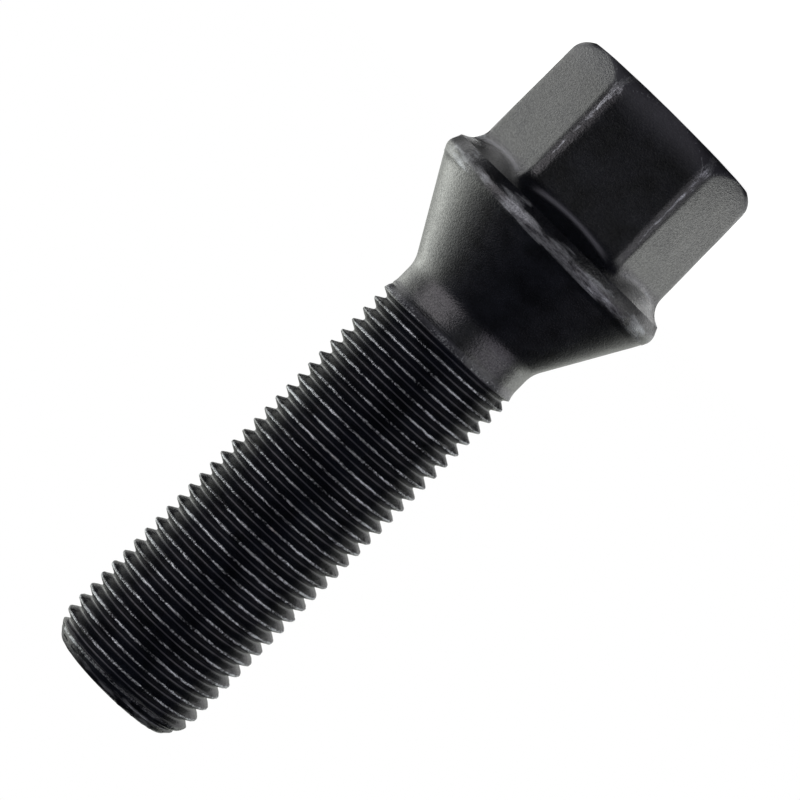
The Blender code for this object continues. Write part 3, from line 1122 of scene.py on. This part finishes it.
@dataclass(frozen=True)
class Panel:
    """A bright screen beside or behind the bolt, or a card on the floor, as the bolt's gloss sees it.

    It shows between two fades. A screen's are sines of the elevation, a card's are distances in metres.
    """

    stops: Stops
    fade_in: tuple[float, float]
    fade_out: tuple[float, float]

    def added(self, tree: Tree, azimuth: Socket, measure: Socket, level: float | Socket) -> Socket:
        """Adds the panel's brightness to what there is.

        Args:
            tree: the node tree.
            azimuth: what azimuth_of gives.
            measure: what the fades are read from.
            level: the brightness so far, a number or a socket.

        Returns:
            The socket with the sum.
        """
        rise = remap(tree, measure, *self.fade_in)
        fall = remap(tree, measure, *self.fade_out, 1.0, 0.0)
        shown = calculate(tree, "MULTIPLY", rise, fall)
        return calculate(tree, "MULTIPLY_ADD", around(tree, azimuth, self.stops), shown, level)


@dataclass
class Studio:
    """Two soft boxes in front, bright screens behind, a dark gap round the camera, a pale floor, the camera.

    In the bolt's gloss the floor has a sheen that carries the boxes and screens on, as a light tent does. It
    starts at a distance in metres that changes with the azimuth, and the cards fill it in close to the bolt.
    """

    floor_size: float = 4.0
    paper: str = "#e8e8e8"
    floor_glow: float = 0.93
    sheen_fade: float = 1.6
    lens: float = 172.1
    camera_side: float = -0.035
    camera_height: float = 14.02
    camera_distance: float = 305.9
    turn: float = math.radians(1.0)
    pitch: float = 0.0562
    yaw: float = -0.0013
    roll: float = 0.0017
    lean: float = math.radians(45.41317)
    dark: float = 0.01
    screen_tint: str = "#fcfff8"
    soft_boxes: tuple[SoftBox, ...] = (
        SoftBox("left_soft_box", azimuth=53.5, width=65.0, radiance=1.35, colour="#fff8ff"),
        SoftBox("right_soft_box", azimuth=-59.0, width=59.0, radiance=0.85, colour="#f9f2ff"))
    screens: tuple[Panel, ...] = (
        Panel(((-180, 0.4), (-150, 0.65), (-130, 1.35), (-114, 1.7), (-103, 0.0)), (-0.2, -0.1), (0.14, 0.4)),
        Panel(((-180, 0.7), (-163, 0.6), (-154, 0.0)), (0.1, 0.25), (0.5, 0.8)),
        Panel(((97, 0.0), (105, 1.15), (126, 1.2), (142, 1.65), (156, 0.0)), (-0.2, -0.1), (0.5, 0.8)),
        Panel(((66, 0.0), (98, 0.6), (122, 0.75), (142, 1.1), (156, 0.0)), (0.1, 0.25), (0.5, 0.9)),
        Panel(((138, 0.0), (150, 0.8), (180, 0.5)), (-0.2, -0.1), (0.12, 0.5)),
        Panel(((-32, 0.0), (-26, 0.1), (18, 0.1), (24, 0.0)), (-0.2, -0.1), (0.2, 0.5)))
    floor_sheen: Stops = (
        (-180, 0.5), (-150, 0.7), (-130, 1.0), (-114, 1.25), (-103, 0.0), (-90, 0.0), (-86, 0.9), (-31, 0.9),
        (-26, 0.1), (18, 0.1), (23, 1.2), (85, 1.2), (91, 0.0), (97, 0.0), (105, 1.1), (150, 0.8), (180, 0.5))
    cards: tuple[Panel, ...] = (
        Panel(((-170, 0.0), (-160, 1.7), (-138, 1.7), (-130, 0.0)), (0.017, 0.023), (0.036, 0.045)),
        Panel(((156, 0.0), (162, 1.1), (180, 1.1)), (0.045, 0.055), (0.09, 0.13)),
        Panel(((-145, 0.0), (-125, 0.45), (-95, 0.45), (-80, 0.0)), (0.0086, 0.0093), (0.014, 0.018)),
        Panel(((80, 0.0), (95, 0.45), (125, 0.45), (145, 0.0)), (0.0086, 0.0093), (0.014, 0.018)))
    sheen_start: Stops = (
        (-180, 0.14), (-152, 0.1), (-135, 0.015), (-102, 0.015), (-90, 0.022), (-20, 0.022), (0, 0.06),
        (20, 0.09), (90, 0.09), (98, 0.015), (130, 0.015), (150, 0.35), (180, 0.4))

    def camera(self) -> bpy.types.Object:
        """Puts the camera where the photograph was taken from, with the head at the upper right.

        Returns:
            The camera.
        """
        sx, cx = math.sin(self.pitch), math.cos(self.pitch)
        sy, cy = math.sin(self.yaw), math.cos(self.yaw)
        sz, cz = math.sin(self.roll), math.cos(self.roll)
        # Each vector is given as world X, Y, Z: the bolt's axis points down the Z axis towards the head.
        to_head = Vector((0.0, sx, -cx))
        across = Vector((-cy, cx * sy, sx * sy))
        forward = Vector((sy, cx * cy, sx * cy))
        head_way = cz * to_head - sz * across
        side_way = sz * to_head + cz * across
        right = math.cos(self.lean) * head_way + math.sin(self.lean) * side_way
        up = math.sin(self.lean) * head_way - math.cos(self.lean) * side_way
        basis = Matrix((right, up, -forward)).transposed().to_4x4()
        place = Matrix.Translation((
            self.camera_side * MM, -self.camera_distance * MM, self.camera_height * MM))
        data = bpy.data.cameras.new("photo_camera")
        data.lens = self.lens
        data.sensor_width = 36.0
        data.clip_start = 0.01
        camera = bpy.data.objects.new("photo_camera", data)
        camera.matrix_world = Matrix.Rotation(self.turn, 4, "Z") @ place @ basis
        bpy.context.scene.collection.objects.link(camera)
        bpy.context.scene.camera = camera
        return camera

    def floor(self) -> bpy.types.Object:
        """Lays the pale floor.

        Returns:
            The floor.
        """
        bm = bmesh.new()
        bmesh.ops.create_grid(bm, x_segments=1, y_segments=1, size=self.floor_size / 2)
        mesh = bpy.data.meshes.new("floor")
        bm.to_mesh(mesh)
        bm.free()
        floor = bpy.data.objects.new("floor", mesh)
        bpy.context.scene.collection.objects.link(floor)
        mesh.materials.append(self.white_paper())
        return floor

    def white_paper(self) -> bpy.types.Material:
        """Builds the floor's material: matt white paper, painted black in the bolt's gloss, with a sheen that
        only the bolt's gloss sees.

        Returns:
            The material.
        """
        material = bpy.data.materials.new("white_paper")
        material.use_nodes = True
        tree = material.node_tree
        shader = tree.nodes["Principled BSDF"]
        shader.inputs["Roughness"].default_value = 0.9
        shader.inputs["Emission Color"].default_value = (1.0, 1.0, 1.0, 1.0)
        glossy = add_node(tree, "LightPath").outputs["Is Glossy Ray"]
        place = add_node(tree, "TexCoord").outputs["Object"]
        azimuth = azimuth_of(tree, place)
        away = add_node(tree, "VectorMath", {0: place}, operation="LENGTH").outputs["Value"]
        ratio = calculate(tree, "DIVIDE", away, around(tree, azimuth, self.sheen_start))
        reach = remap(tree, ratio, 1.0, self.sheen_fade)
        sheen = calculate(tree, "MULTIPLY", around(tree, azimuth, self.floor_sheen), reach)
        for card in self.cards:
            sheen = card.added(tree, azimuth, away, sheen)
        mirrored = calculate(tree, "MULTIPLY", glossy, sheen)
        glow = calculate(tree, "MULTIPLY_ADD", in_view(tree), self.floor_glow, mirrored)
        # Painted shade: in the bolt's gloss the paper is black, so the lamps' light on it doesn't show there,
        # only the sheen.
        colour = blend(tree, glossy, linear(self.paper), linear("#000000"))
        tree.links.new(colour, shader.inputs["Base Color"])
        tree.links.new(glow, shader.inputs["Emission Strength"])
        return material

    def surroundings(self) -> None:
        """Puts up the screens, low enough to leave the thread's flanks dark. The background is white."""
        world = bpy.data.worlds.new("studio")
        bpy.context.scene.world = world
        world.use_nodes = True
        tree = world.node_tree
        background = tree.nodes["Background"]
        way = add_node(tree, "TexCoord").outputs["Generated"]
        azimuth = azimuth_of(tree, way)
        height = add_node(tree, "SeparateXYZ", {0: way}).outputs["Z"]
        level = self.dark
        for screen in self.screens:
            level = screen.added(tree, azimuth, height, level)
        tinted = add_node(tree, "VectorMath", {0: linear(self.screen_tint)[:3], "Scale": level},
                          operation="SCALE").outputs[0]
        tree.links.new(blend(tree, in_view(tree), tinted, (1.0, 1.0, 1.0, 1.0)), background.inputs["Color"])
        background.inputs["Strength"].default_value = 1.0

    def build(self) -> None:
        """Sets up the camera, floor, surroundings and lamps."""
        self.camera()
        self.floor()
        self.surroundings()
        for soft_box in self.soft_boxes:
            soft_box.build()
        bpy.context.scene.view_settings.view_transform = "Standard"


def main() -> None:
    """Builds the studio and the bolt, and reports the piece."""
    logging.basicConfig(level=logging.INFO, format="%(message)s")
    Studio().build()
    bolt = WheelBolt().build()
    triangles = sum(len(face.vertices) - 2 for face in bolt.data.polygons)
    log.info("%s: %d points, %d triangles", bolt.name, len(bolt.data.vertices), triangles)


if __name__ == "__main__":
    main()
